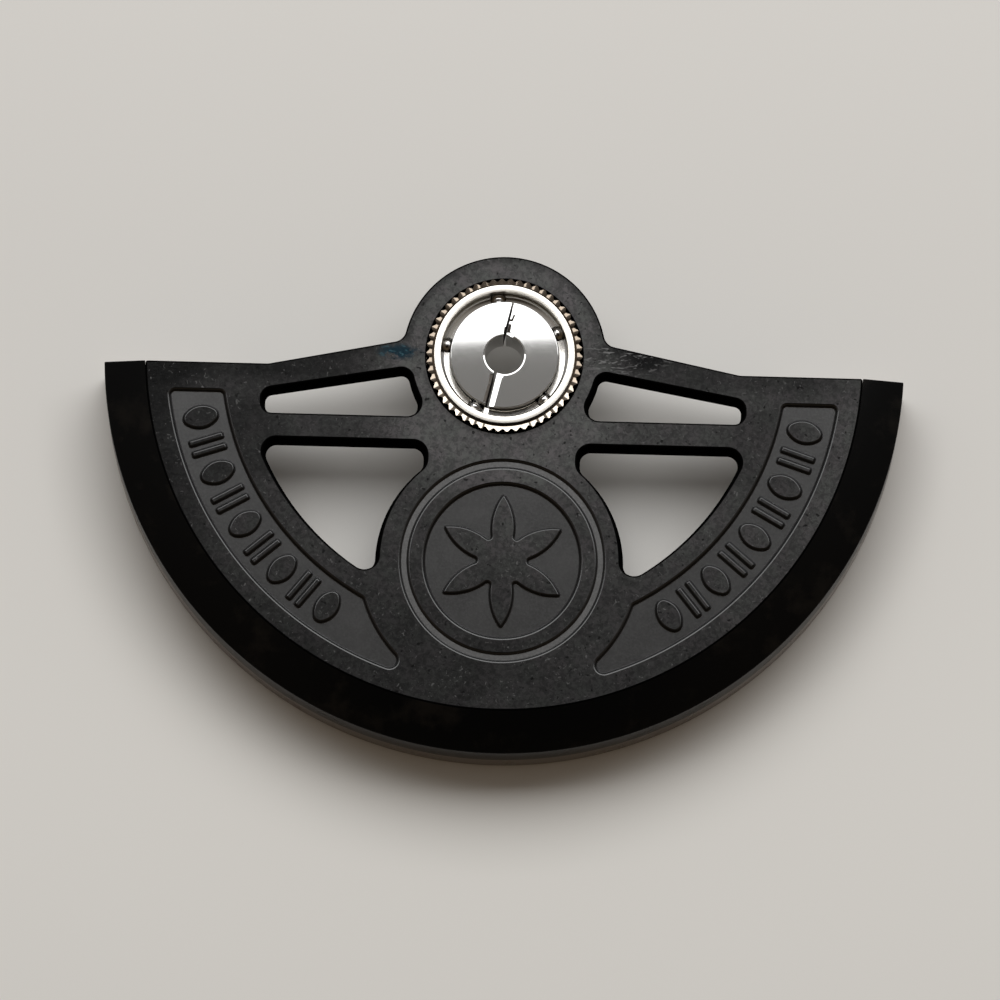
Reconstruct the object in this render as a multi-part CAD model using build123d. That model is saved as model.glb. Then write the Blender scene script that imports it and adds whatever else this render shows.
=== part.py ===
from build123d import *
import os
from math import acos, asin, atan, cos, degrees, pi, radians, sin, sqrt, tan

# Automatic watch rotor: a ball bearing, a pierced plate and a heavy rim segment.
# The origin is on the bearing's axis, at the seat face under its inner ring.
# +Z points away from the movement, the weight lies towards -Y, +X is to the right.

# Whole rotor
outer_radius = 13.5
chord_drop = 0.45
plate_bottom = 0.70
plate_thickness = 0.90
plate_fit = 0.01
overrun = 1.0

# Rim weight
rim_width = 4.20
rim_hang = 1.5
rim_foot_chamfer = 0.12
bevel_width = 1.40
bevel_drop = 0.48

# Balls and the races that they run in
ball_count = 5
ball_radius = 0.275
ball_depth = 0.50
ball_start_angle = 25.5
pitch_radius = 1.98
race_gap = 0.30
race_clearance = 0.01

# Inner ring, split into two halves
bore_radius = 0.66
bore_chamfer = 0.05
inner_ring_sink = 0.15
inner_ring_edge = 0.03
foot_step = 0.38
foot_height = 0.08
split_angle = 12.6
split_gap_top = 0.07
split_gap_bottom = 0.16

# Outer ring with its teeth, lip and seat collar
outer_ring_bottom = 0.10
lip_width = 0.24
lip_rise = 0.40
lip_round = 0.06
tooth_count = 54
tooth_rise = 0.20
tooth_depth = 0.13
lip_groove_width = 0.07
lip_groove_depth = 0.10
root_land = 0.06
collar_width = 0.30
collar_thickness = 0.12

# Cage
cage_clearance = 0.03
cage_width = 0.18
cage_base_thickness = 0.25
cage_top_rise = 0.15
pocket_clearance = 0.02

# Hub and arms of the plate
hub_wall = 0.79
arm_slope = 11.5
arm_fillet = 0.45
arm_foot_setback = 0.93
arm_foot_width = 0.785

# Windows of the plate, which narrow a little towards the underside
window_slope = 10.0
window_foot_height = 0.855
window_tip_setback = 0.73
window_hub_relief = 0.26
window_draft = 0.17
window_corner = 0.48
window_hub_corner = 0.20
window_land = 0.62
bar_width = 0.80

# Web disc and its medallion
web_sink = 0.05
web_margin = 1.04
ring_margin = 0.61
ring_groove_width = 0.29
ring_groove_depth = 0.08
medallion_land = 0.51
recess_depth = 0.14

# Sunk panels with their raised bead and reel pattern
panel_margin = 0.73
panel_width = 1.87
panel_chord_margin = 0.95
panel_web_margin = 0.64
panel_corner = 0.20
panel_tip_corner = 0.30
mark_count = 9
mark_length = 1.15
mark_end_margin = 0.95
mark_web_margin = 2.15
bead_width = 0.74
reel_width = 0.17
reel_gap = 0.22

# Shares that shape the teeth, the windows' tips, the web's neck and the rosette
tooth_tip_share = 0.30
tooth_base_share = 0.64
window_tip_round_share = 0.46
neck_share = 0.62
neck_corner_share = 0.62
petal_count = 6
petal_reach_share = 0.84
petal_width_share = 0.34
rosette_boss_share = 0.15

# Heights and radii that follow from the sizes above
plate_top = plate_bottom + plate_thickness
lip_top = plate_top + lip_rise
tooth_top = plate_top + tooth_rise
inner_ring_top = lip_top - inner_ring_sink
ball_height = inner_ring_top - ball_depth
seam_radius = outer_radius - bevel_width
rim_inner_radius = outer_radius - rim_width
inner_ring_radius = pitch_radius - race_gap / 2
foot_radius = inner_ring_radius - foot_step
lip_inner_radius = pitch_radius + race_gap / 2
lip_outer_radius = lip_inner_radius + lip_width
tooth_root_radius = lip_outer_radius + lip_groove_width + root_land
tooth_tip_radius = tooth_root_radius + tooth_depth
plate_hole_radius = tooth_tip_radius + plate_fit
hub_radius = plate_hole_radius + hub_wall
panel_outer_radius = seam_radius - panel_margin
panel_inner_radius = panel_outer_radius - panel_width
window_radius = panel_inner_radius - window_land
window_tip = window_radius - window_tip_setback
arm_foot = window_radius - arm_foot_setback
bar_top = chord_drop + arm_foot_width + window_foot_height
bar_bottom = bar_top + bar_width
web_top = bar_bottom + web_sink
web_radius = (seam_radius - web_margin - web_top) / 2
web_drop = web_top + web_radius
ring_groove_outer = web_radius - ring_margin
ring_groove_inner = ring_groove_outer - ring_groove_width
medallion_radius = ring_groove_inner - medallion_land


def slab(outline, bottom, top):
    """A flat outline given a thickness between two heights."""
    return Pos(0, 0, bottom) * extrude(outline, amount=top - bottom)


def drafted(window):
    """A window's opening through the plate, narrower at the underside by the draft."""
    slope = degrees(atan(window_draft / plate_thickness))
    return Pos(0, 0, plate_top) * extrude(window, amount=-plate_thickness, taper=slope)


def turned(*points):
    """A solid turned about the bearing's axis from corners given as radius and height."""
    return revolve(Plane.XZ * make_face(Polyline(*points, close=True)), axis=Axis.Z)


def race_groove():
    """The round groove that the balls run in, half of it in each ring."""
    section = Pos(pitch_radius, ball_height) * Circle(ball_radius + race_clearance)
    return revolve(Plane.XZ * section, axis=Axis.Z)


def ball_angles():
    """Each ball's angle about the axis."""
    return [ball_start_angle + 360 * index / ball_count for index in range(ball_count)]


def at_ball(angle):
    """The centre of the ball that sits at an angle."""
    across = pitch_radius * cos(radians(angle))
    along = pitch_radius * sin(radians(angle))
    return Pos(across, along, ball_height)


def beyond(drop):
    """Everything on the weight's side of a line that lies a drop below the axis."""
    reach = outer_radius + overrun
    return Pos(0, -drop - reach) * Rectangle(2 * reach, 2 * reach)


def plate_outline():
    """Hub, two sloping arms and the segment that carries the weight."""
    apex_rise = arm_foot * tan(radians(arm_slope)) - chord_drop
    left_foot = (-arm_foot, -chord_drop)
    right_foot = (arm_foot, -chord_drop)
    arms = make_face(Polyline(left_foot, right_foot, (0, apex_rise), close=True))
    segment = Circle(seam_radius) & beyond(chord_drop)
    outline = Circle(hub_radius) + arms + segment
    hub_corners = outline.vertices().filter_by(lambda corner: corner.Y > 0)
    return fillet(hub_corners, arm_fillet)


def upper_window():
    """The slot under the right arm, from the hub to a rounded tip."""
    slope = tan(radians(window_slope))
    foot_drop = chord_drop + arm_foot_width
    hub_side_drop = foot_drop - arm_foot * slope
    tip_drop = foot_drop + (window_tip - arm_foot) * slope
    corners = [(0, -hub_side_drop), (window_tip, -tip_drop), (window_tip, -bar_top), (0, -bar_top)]
    window = make_face(Polyline(*corners, close=True)) - Circle(hub_radius - window_hub_relief)
    tip_round = window_tip_round_share * (bar_top - tip_drop)
    window = fillet(window.vertices().group_by(Axis.X)[-1], tip_round)
    window = fillet(window.vertices().sort_by(Axis.X)[0], window_corner)
    return fillet(window.vertices().sort_by(Axis.Y)[-1], window_hub_corner)


def lower_window():
    """The large right window between the bar, the weight, and the web disc with its neck."""
    reach = outer_radius + overrun
    right_side = Pos(reach / 2, -bar_bottom - reach / 2) * Rectangle(reach, reach)
    half_neck = neck_share * web_radius
    neck = Pos(0, -web_drop / 2) * Rectangle(2 * half_neck, web_drop)
    window = (Circle(window_radius) & right_side) - Pos(0, -web_drop) * Circle(web_radius) - neck
    neck_side = web_drop - bar_bottom - sqrt(web_radius**2 - half_neck**2)
    corner = min(window_corner, neck_corner_share * neck_side)
    return fillet(window.vertices(), corner)


def panel():
    """The right sunk panel: a stretch of a ring, cut off below the chord and round the web disc."""
    ring = Circle(panel_outer_radius) - Circle(panel_inner_radius)
    reach = outer_radius + overrun
    right_side = Pos(reach / 2, 0) * Rectangle(reach, 2 * reach)
    web = Pos(0, -web_drop) * Circle(web_radius + panel_web_margin)
    stretch = (ring & right_side & beyond(chord_drop + panel_chord_margin)) - web
    stretch = fillet(stretch.vertices().sort_by(Axis.Y)[1:], panel_corner)
    return fillet(stretch.vertices().sort_by(Axis.Y)[0], panel_tip_corner)


def panel_marks():
    """Beads and pairs of reels in turn along the right panel, left standing at face height."""
    row_radius = (panel_inner_radius + panel_outer_radius) / 2
    web = web_radius + panel_web_margin
    web_cosine = (row_radius**2 + web_drop**2 - web**2) / (2 * row_radius * web_drop)
    first = asin((chord_drop + panel_chord_margin) / row_radius) + mark_end_margin / row_radius
    last = pi / 2 - acos(web_cosine) - mark_web_margin / row_radius
    reel = Rectangle(mark_length, reel_width)
    reel_step = (reel_width + reel_gap) / 2
    bead = Ellipse(mark_length / 2, bead_width / 2)
    reels = Pos(0, reel_step) * reel + Pos(0, -reel_step) * reel
    row = Sketch()
    for index in range(mark_count):
        angle = -degrees(first + (last - first) * index / (mark_count - 1))
        mark = reels if index % 2 else bead
        row += Rot(0, 0, angle) * Pos(row_radius, 0) * mark
    return row


def rosette():
    """Pointed petals round a small boss, for the middle of the medallion."""
    reach = petal_reach_share * medallion_radius
    half_width = petal_width_share * reach / 2
    right_side = ThreePointArc((0, 0), (half_width, reach / 2), (0, reach))
    left_side = ThreePointArc((0, reach), (-half_width, reach / 2), (0, 0))
    petal = make_face(right_side + left_side)
    flower = Circle(rosette_boss_share * medallion_radius)
    for index in range(petal_count):
        flower += Rot(0, 0, 360 * index / petal_count) * petal
    return Pos(0, -web_drop) * flower


def carrier_plate():
    """The pierced plate that joins the bearing to the weight."""
    outline = plate_outline() - Circle(plate_hole_radius)
    right_sunk = panel() - panel_marks()
    medallion = Pos(0, -web_drop) * Circle(medallion_radius)
    sunk = right_sunk + mirror(right_sunk, about=Plane.YZ) + (medallion - rosette())
    ring_groove = Pos(0, -web_drop) * (Circle(ring_groove_outer) - Circle(ring_groove_inner))
    plate = slab(outline, plate_bottom, plate_top)
    for window in (upper_window(), lower_window()):
        opening = drafted(window)
        plate -= opening + mirror(opening, about=Plane.YZ)
    plate -= slab(sunk, plate_top - recess_depth, plate_top)
    return plate - slab(ring_groove, plate_top - ring_groove_depth, plate_top)


def rim_weight():
    """The heavy segment: a ledge under the plate, a bevel outside it, and a tall outer wall."""
    seat_radius = seam_radius + plate_fit
    foot = -rim_hang
    full_ring = turned(
        (rim_inner_radius, foot),
        (outer_radius - rim_foot_chamfer, foot),
        (outer_radius, foot + rim_foot_chamfer),
        (outer_radius, plate_top - bevel_drop),
        (seat_radius, plate_top),
        (seat_radius, plate_bottom),
        (rim_inner_radius, plate_bottom),
    )
    return full_ring & slab(beyond(chord_drop), foot - overrun, plate_top + overrun)


def inner_ring_halves():
    """The left and right halves of the grooved ring that is screwed to the movement."""
    ring = turned(
        (bore_radius, 0),
        (foot_radius, 0),
        (foot_radius, foot_height),
        (inner_ring_radius, foot_height),
        (inner_ring_radius, inner_ring_top - inner_ring_edge),
        (inner_ring_radius - inner_ring_edge, inner_ring_top),
        (bore_radius + bore_chamfer, inner_ring_top),
        (bore_radius, inner_ring_top - bore_chamfer),
    )
    reach = inner_ring_radius + overrun
    flare = (split_gap_bottom - split_gap_top) / 4 * reach / inner_ring_radius
    middle = (split_gap_top + split_gap_bottom) / 4
    top = middle - flare
    bottom = middle + flare
    gap_corners = [(-top, reach), (top, reach), (bottom, -reach), (-bottom, -reach)]
    gap = Rot(0, 0, -split_angle) * make_face(Polyline(*gap_corners, close=True))
    halves = ring - race_groove() - slab(gap, -overrun, inner_ring_top + overrun)
    return halves.solids().sort_by(Axis.X)


def toothed_outline():
    """The outer ring's outline with its fine teeth."""
    step = 2 * pi / tooth_count
    half_base = tooth_base_share * step / 2
    half_tip = tooth_tip_share * step / 2
    corners = []
    for index in range(tooth_count):
        middle = index * step
        places = [
            (tooth_root_radius, middle - half_base),
            (tooth_tip_radius, middle - half_tip),
            (tooth_tip_radius, middle + half_tip),
            (tooth_root_radius, middle + half_base),
        ]
        corners += [(radius * cos(angle), radius * sin(angle)) for radius, angle in places]
    return make_face(Polyline(*corners, close=True))


def bearing_outer_ring():
    """The toothed ring: lip above the plate, teeth in the plate's hub, collar under it."""
    lip = slab(Circle(lip_outer_radius), outer_ring_bottom, lip_top)
    teeth = slab(toothed_outline(), outer_ring_bottom, tooth_top)
    collar_radius = tooth_tip_radius + collar_width
    collar = slab(Circle(collar_radius), plate_bottom - collar_thickness, plate_bottom)
    ring = lip + teeth + collar
    ring -= slab(Circle(lip_inner_radius), outer_ring_bottom - overrun, lip_top + overrun)
    groove = Circle(lip_outer_radius + lip_groove_width) - Circle(lip_outer_radius)
    ring -= slab(groove, tooth_top - lip_groove_depth, tooth_top)
    ring = fillet(ring.edges().group_by(Axis.Z)[-1], lip_round)
    return ring - race_groove()


def ball_cage():
    """A ring under the balls with fingers between them that hold each ball past its middle."""
    inner = inner_ring_radius + cage_clearance
    base_top = ball_height - ball_radius - cage_clearance
    base_bottom = base_top - cage_base_thickness
    outline = Circle(inner + cage_width) - Circle(inner)
    cage = slab(outline, base_bottom, ball_height + cage_top_rise)
    for angle in ball_angles():
        cage -= at_ball(angle) * Sphere(ball_radius + pocket_clearance)
    return cage


def ball(angle):
    """One ball on the pitch circle."""
    return at_ball(angle) * Sphere(ball_radius)


left_half, right_half = inner_ring_halves()
pieces = {
    "carrier_plate": carrier_plate(),
    "rim_weight": rim_weight(),
    "bearing_outer_ring": bearing_outer_ring(),
    "ball_cage": ball_cage(),
    "inner_ring_left": left_half,
    "inner_ring_right": right_half,
}
for index, angle in enumerate(ball_angles()):
    pieces[f"ball_{index + 1}"] = ball(angle)

os.makedirs("parts", exist_ok=True)
for name, piece in pieces.items():
    export_step(piece, f"parts/{name}.step")

roll_radius = pitch_radius + ball_radius
cage_ratio = roll_radius / (2 * pitch_radius)
ball_ratio = cage_ratio * (pitch_radius / ball_radius - 1)
print(f"cage turns {cage_ratio:.6f} and each ball {ball_ratio:.6f} for one turn of the rotor")
print(f"bore wall {inner_ring_top - bore_chamfer:.3f} mm long, web disc {web_radius:.3f} mm in radius")
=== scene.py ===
# %% [markdown]
# # A watch's automatic rotor
# The rotor is the half-disc weight that swings over an automatic watch and winds its spring.
# Its black plate carries a heavy rim, and turns on a ball bearing little more than 5 mm across.
# The measured model gives every size and place, and these cells dress it: each piece is modelled
# again with the rounded edges, sunk panels and finishes that the eye sees on the real one.

# %% Load the measured model
from math import acos, asin, atan2, ceil, cos, pi, radians, sin, sqrt, tan, tau

import bmesh
import bpy
from mathutils import Matrix, Vector


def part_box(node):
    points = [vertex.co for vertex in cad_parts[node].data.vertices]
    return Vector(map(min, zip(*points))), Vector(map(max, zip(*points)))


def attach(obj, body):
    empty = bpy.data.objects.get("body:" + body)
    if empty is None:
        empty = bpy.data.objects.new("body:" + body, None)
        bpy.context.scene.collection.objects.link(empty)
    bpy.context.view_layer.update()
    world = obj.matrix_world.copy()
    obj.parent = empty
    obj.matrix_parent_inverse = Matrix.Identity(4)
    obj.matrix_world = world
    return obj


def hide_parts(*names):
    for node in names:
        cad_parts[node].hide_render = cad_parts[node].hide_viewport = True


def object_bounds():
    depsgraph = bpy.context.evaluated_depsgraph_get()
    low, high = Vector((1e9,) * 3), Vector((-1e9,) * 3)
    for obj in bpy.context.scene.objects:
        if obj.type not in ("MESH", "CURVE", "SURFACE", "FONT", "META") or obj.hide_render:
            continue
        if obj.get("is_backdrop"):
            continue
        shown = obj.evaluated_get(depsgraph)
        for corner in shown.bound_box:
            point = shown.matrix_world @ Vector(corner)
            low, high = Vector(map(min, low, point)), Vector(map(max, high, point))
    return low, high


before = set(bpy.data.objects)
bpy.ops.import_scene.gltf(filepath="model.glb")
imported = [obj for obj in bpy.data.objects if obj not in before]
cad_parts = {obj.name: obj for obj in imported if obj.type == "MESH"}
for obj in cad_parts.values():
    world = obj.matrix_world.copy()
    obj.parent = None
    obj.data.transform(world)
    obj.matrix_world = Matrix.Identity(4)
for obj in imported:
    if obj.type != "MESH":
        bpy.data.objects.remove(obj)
cad_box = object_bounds()
mm = 0.001
print("nodes:", ", ".join(sorted(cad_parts)))

# %% [markdown]
# ## The picture
# The photograph was taken from almost straight above with very little perspective.
# A long lens gives that: at 12 times the sensor's width the camera stands 40 cm away.
# It leans a little towards the weight's side and is turned by a degree and a half.
# The view is aimed so that the bearing's axis lands where it is in the photograph.

# %% Camera
picture_width = 1000
pixels_per_mm = 29.55
lens_ratio = 12.0
camera_tilt = radians(10.5)
camera_roll = radians(-1.49)
axis_pixel = (504.2, 365.4)
sensor_width = 36.0


def view_axes():
    """Right, up and backwards as the camera has them."""
    right = Vector((1, 0, 0))
    up = Vector((0, cos(camera_tilt), sin(camera_tilt)))
    back = Vector((0, -sin(camera_tilt), cos(camera_tilt)))
    turned_right = right * cos(camera_roll) - up * sin(camera_roll)
    turned_up = right * sin(camera_roll) + up * cos(camera_roll)
    return turned_right, turned_up, back


def add_camera():
    """The camera, aimed so that the bearing's axis is at its place in the picture."""
    right, up, back = view_axes()
    across = (picture_width / 2 - axis_pixel[0]) / pixels_per_mm * mm
    down = (picture_width / 2 - axis_pixel[1]) / pixels_per_mm * mm
    distance = lens_ratio * picture_width / pixels_per_mm * mm
    data = bpy.data.cameras.new("camera")
    data.sensor_width = sensor_width
    data.lens = sensor_width * lens_ratio
    camera = bpy.data.objects.new("camera", data)
    bpy.context.scene.collection.objects.link(camera)
    place = right * across - up * down + back * distance
    turn = Matrix((right, up, back)).transposed()
    camera.matrix_world = Matrix.Translation(place) @ turn.to_4x4()
    bpy.context.scene.camera = camera
    return distance


print(f"camera {add_camera() / mm:.0f} mm away, lens {sensor_width * lens_ratio:.0f} mm")

# %% [markdown]
# ## Wiring nodes
# A finish is easier to read as a sum than as a web of nodes. `Signal` stands for one output of a node,
# and adding or multiplying signals adds the Math nodes. `Wiring` fills a node tree: its method
# `node` makes any node from its type, its settings and its inputs.

# %% Signals and wiring
class Signal:
    """One output of a node, which sums and products can use."""

    def __init__(self, wiring, socket):
        self.wiring, self.socket = wiring, socket

    def maths(self, operation, *values):
        """The result of a Math node."""
        return self.wiring.node("ShaderNodeMath", {"operation": operation}, dict(enumerate(values)))

    def __add__(self, other):
        return self.maths("ADD", self, other)

    def __sub__(self, other):
        return self.maths("SUBTRACT", self, other)

    def __rsub__(self, other):
        return self.maths("SUBTRACT", other, self)

    def __mul__(self, other):
        return self.maths("MULTIPLY", self, other)

    __radd__ = __add__
    __rmul__ = __mul__


class Wiring:
    """A node tree that is being filled."""

    def __init__(self, tree):
        self.tree = tree

    def feed(self, socket, value):
        """Sets a socket to a value, or links a signal to it."""
        if isinstance(value, Signal):
            self.tree.links.new(value.socket, socket)
        else:
            socket.default_value = value

    def node(self, kind, settings, inputs, output=0):
        """Any node: its settings first, then its inputs by name or number."""
        made = self.tree.nodes.new(kind)
        for key, value in settings.items():
            setattr(made, key, value)
        for key, value in inputs.items():
            self.feed(made.inputs[key], value)
        return Signal(self, made.outputs[output])

    def part(self, places, letter):
        """One coordinate of a place or direction."""
        return self.node("ShaderNodeSeparateXYZ", {}, {"Vector": places}, letter)

    def step(self, value, low, high):
        """0 below low, 1 above high, and smooth between."""
        inputs = {"Value": value, "From Min": low, "From Max": high}
        return self.node("ShaderNodeMapRange", {"interpolation_type": "SMOOTHSTEP"}, inputs)

    def blend(self, share, first, second):
        """A colour between two colours. Inputs 0, 6 and 7 of a colour mix are its share and colours."""
        inputs = {0: share, 6: first, 7: second}
        return self.node("ShaderNodeMix", {"data_type": "RGBA"}, inputs, 2)


# %% [markdown]
# ## Floor and light
# A small polished object shows its surroundings, so the light is laid out for the reflections first.
# One wide soft panel hangs behind the rotor. Its near edge stands where the flat steel disc of the
# bearing mirrors it, and so the disc is white above the middle and grey below, as in the photograph.
# The same panel throws the soft shadows towards the weight. The world adds a fill that is neutral
# behind the rotor and a dim brown in front of it, with a dark patch that the camera stands in.

# %% Floor, lamps and world
floor_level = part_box("rim_weight")[0].z
floor_size = 900 * mm
# Painted light: the floor's colours behind and in front of the rotor.
far_floor = (0.68, 0.665, 0.635, 1)
near_floor = (0.76, 0.745, 0.71, 1)
floor_light_fade = (-18 * mm, 6 * mm)
floor_roughness = 0.8
floor_shine = 0.1
panel_height = 190 * mm
panel_front = 38 * mm
panel_side = 25 * mm
panel_turn = radians(3.5)
panel_size = (270 * mm, 230 * mm)
panel_strength = 3.4
front_colour = (0.14, 0.10, 0.06, 1)
back_colour = (0.36, 0.36, 0.36, 1)
shade_colour = (0.02, 0.014, 0.009, 1)
shade_middle = (0, -0.38, 0.925)
shade_fade = (0.26, 0.44)
sky_fade = (-0.6, 0.6)


def add_floor():
    """A pale sheet under the rotor, with painted light: paler in front of the rotor than behind it."""
    mesh = bpy.data.meshes.new("floor")
    shape = bmesh.new()
    bmesh.ops.create_grid(shape, x_segments=1, y_segments=1, size=floor_size / 2)
    bmesh.ops.translate(shape, verts=shape.verts, vec=(0, 0, floor_level))
    shape.to_mesh(mesh)
    shape.free()
    floor = bpy.data.objects.new("floor", mesh)
    bpy.context.scene.collection.objects.link(floor)
    paint = bpy.data.materials.new("floor_paint")
    paint.use_nodes = True
    wiring = Wiring(paint.node_tree)
    places = wiring.node("ShaderNodeTexCoord", {}, {}, "Object")
    # Painted light: the floor is painted paler in front than behind.
    share = wiring.step(wiring.part(places, "Y"), *floor_light_fade)
    shader = paint.node_tree.nodes["Principled BSDF"]
    wiring.feed(shader.inputs["Base Color"], wiring.blend(share, near_floor, far_floor))
    shader.inputs["Roughness"].default_value = floor_roughness
    shader.inputs["Specular IOR Level"].default_value = floor_shine
    mesh.materials.append(paint)
    floor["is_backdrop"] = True


def add_panel_light():
    """A level rectangular light of an even brightness, a little turned about its front edge."""
    data = bpy.data.lights.new("key", "AREA")
    data.shape = "RECTANGLE"
    data.size, data.size_y = panel_size
    data.energy = panel_strength * pi * panel_size[0] * panel_size[1]
    light = bpy.data.objects.new("key", data)
    bpy.context.scene.collection.objects.link(light)
    inward = Matrix.Rotation(panel_turn, 3, "Z") @ Vector((panel_side, panel_size[1] / 2, 0))
    light.location = Vector((0, panel_front, panel_height)) + inward
    light.rotation_euler.z = panel_turn


def add_world():
    """A soft fill that grows brighter from the front to the back."""
    world = bpy.data.worlds.new("world")
    world.use_nodes = True
    wiring = Wiring(world.node_tree)
    direction = wiring.node("ShaderNodeTexCoord", {}, {}, "Generated")
    share = wiring.step(wiring.part(direction, "Y"), *sky_fade)
    sky = wiring.blend(share, front_colour, back_colour)
    inputs = {0: direction, 1: shade_middle}
    away = wiring.node("ShaderNodeVectorMath", {"operation": "DISTANCE"}, inputs, "Value")
    background = world.node_tree.nodes["Background"]
    sky = wiring.blend(wiring.step(away, *shade_fade), shade_colour, sky)
    wiring.feed(background.inputs["Color"], sky)
    bpy.context.scene.world = world


add_floor()
add_panel_light()
add_world()
bpy.context.scene.view_settings.view_transform = "Standard"
print(f"floor at {floor_level / mm:.2f} mm, light panel {panel_height / mm:.0f} mm up")

# %% [markdown]
# ## Outlines as belts round pulleys
# Every outline on the plate is made of arcs that run smoothly into each other or into straight lines.
# A belt round pulleys is just that. Each pulley has a centre and a radius, and the belt turns left
# round a positive radius and right round a negative one. Between two pulleys it runs straight, or
# passes from arc to arc where the two circles touch. If every radius grows by the same amount, the
# whole outline moves out evenly, and that gives all the loops that a rounded edge needs.
# Each arc is one vertex, spun round the pulley's centre.

# %% Belt outlines
arc_chord = 0.12 * mm
finest_turn = radians(1.0)
coarsest_turn = radians(9.0)
touching = 0.0005 * mm
weld_distance = touching / 5


def headings(pulleys):
    """The belt's direction as it leaves each pulley for the next one."""
    found = []
    for (centre, radius), (onward, next_radius) in zip(pulleys, pulleys[1:] + pulleys[:1]):
        apart = onward - centre
        lean = max(-1.0, min(1.0, (next_radius - radius) / apart.length))
        found.append(atan2(apart.y, apart.x) - asin(lean))
    return found


def arc_steps(turn, radius):
    """How many straight pieces stand for an arc."""
    step = min(coarsest_turn, max(finest_turn, arc_chord / abs(radius)))
    return max(2, ceil(abs(turn) / step))


def closing(shape, first, last):
    """Joins the two ends of a row of edges, by an edge or at one point."""
    if (first.co - last.co).length > touching:
        shape.edges.new((last, first))
    else:
        bmesh.ops.weld_verts(shape, targetmap={last: first})


def circle_loop(shape, centre, radius, height):
    """A closed round loop at a height."""
    count = arc_steps(tau, radius)
    made = bmesh.ops.create_circle(shape, segments=count, radius=radius)
    bmesh.ops.translate(shape, verts=made["verts"], vec=(centre.x, centre.y, height))


def belt_loop(shape, pulleys, grow, height):
    """A closed loop at a height that runs round the pulleys, each grown by the same amount."""
    leaving = headings(pulleys)
    first = last = None
    for index, (centre, radius) in enumerate(pulleys):
        arrives = leaving[index - 1]
        turn = (leaving[index] - arrives) % tau
        turn = turn if radius > 0 else turn - tau
        reach = radius + grow
        place = (centre.x + reach * sin(arrives), centre.y - reach * cos(arrives), height)
        corner = last
        if last is None or (Vector(place) - last.co).length > touching:
            corner = shape.verts.new(place)
        if last is None:
            first = corner
        elif corner is not last:
            shape.edges.new((last, corner))
        hub = (centre.x, centre.y, height)
        steps = arc_steps(turn, radius)
        spun = bmesh.ops.spin(shape, geom=[corner], cent=hub, axis=(0, 0, 1), angle=turn, steps=steps)
        last = spun["geom_last"][0]
    closing(shape, first, last)


def loop_edges(shape, pulleys, grow, height):
    """The edges of one new loop: a circle for a single pulley, a belt for several."""
    old = set(shape.edges)
    if len(pulleys) == 1:
        centre, radius = pulleys[0]
        circle_loop(shape, centre, radius + grow, height)
    else:
        belt_loop(shape, pulleys, grow, height)
    return [edge for edge in shape.edges if edge not in old]


def mirrored(pulleys):
    """The same outline on the left side."""
    return [(Vector((-centre.x, centre.y)), radius) for centre, radius in reversed(pulleys)]


def placed(pulleys, turn, offset):
    """An outline turned about its own middle and then moved."""
    spin = Matrix.Rotation(turn, 2)
    return [(spin @ centre + offset, radius) for centre, radius in pulleys]


trial = bmesh.new()
square = [(Vector(corner) * mm, 0.5 * mm) for corner in ((1, -1), (1, 1), (-1, 1), (-1, -1))]
print("a rounded square has", len(loop_edges(trial, square, 0, 0)), "edges")
trial.free()

# %% [markdown]
# ## Walls and flats
# A plate with holes and sunk fields is a stack of such loops. From one loop to the next a bridge
# makes the wall: a few steps round the edge over, one step makes the slope, and the last ones run
# out into the floor. The flats between are filled by triangles, which take any number of holes.

# %% Walls, edges and fills
edge_steps = 3
level_normal = 0.9999


def rounded_over(side, radius, top):
    """Loops that round an edge over from the flat to the wall. Side is 1 at a hole and -1 at a rim."""
    angles = [radians(90) * step / edge_steps for step in range(edge_steps + 1)]
    return [(side * radius * (1 - sin(angle)), top - radius * (1 - cos(angle))) for angle in angles]


def rounded_under(side, radius, bottom):
    """Loops that round a lower edge back from the wall to the flat underside."""
    return [(grow, 2 * bottom - height) for grow, height in reversed(rounded_over(side, radius, bottom))]


def added(shape, part):
    """Adds one bmesh to another and gives the added edges that are still open."""
    mesh = bpy.data.meshes.new("part")
    part.to_mesh(mesh)
    part.free()
    old = set(shape.edges)
    shape.from_mesh(mesh)
    bpy.data.meshes.remove(mesh)
    return [edge for edge in shape.edges if edge.is_boundary and edge not in old]


def walls(shape, pulleys, steps, material=0):
    """Loops at each step's growth and height, bridged into a wall. Gives the first and last loop."""
    part = bmesh.new()
    loops = [loop_edges(part, pulleys, grow, height) for grow, height in steps]
    for upper, lower in zip(loops, loops[1:]):
        bmesh.ops.bridge_loops(part, edges=upper + lower)
    for face in part.faces:
        face.material_index = material
    ends = added(shape, part)
    levels = (steps[0][1], steps[-1][1])
    return [[edge for edge in ends if abs(edge.verts[0].co.z - level) < touching] for level in levels]


def flat(shape, loops, material=0):
    """A flat fill between loops, with a material index."""
    edges = [edge for loop in loops for edge in loop]
    made = bmesh.ops.triangle_fill(shape, use_beauty=True, use_dissolve=False, edges=edges)
    for face in made["geom"]:
        if isinstance(face, bmesh.types.BMFace):
            face.material_index = material


def finished(shape, name, body, nodes, crease=24.0):
    """Turns a bmesh into a piece: closed, facing outwards, smooth up to an angle, riding on its body."""
    bmesh.ops.remove_doubles(shape, verts=shape.verts, dist=weld_distance)
    bmesh.ops.recalc_face_normals(shape, faces=shape.faces)
    open_edges = sum(1 for edge in shape.edges if not edge.is_manifold)
    mesh = bpy.data.meshes.new(name)
    shape.to_mesh(mesh)
    shape.free()
    mesh.shade_smooth()
    mesh.set_sharp_from_angle(angle=radians(crease))
    for face in mesh.polygons:
        face.use_smooth = abs(face.normal.z) < level_normal
    piece = bpy.data.objects.new(name, mesh)
    bpy.context.scene.collection.objects.link(piece)
    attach(piece, body)
    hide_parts(*nodes)
    print(f"{name}: {len(mesh.polygons)} faces, {open_edges} open edges")
    return piece


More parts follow.
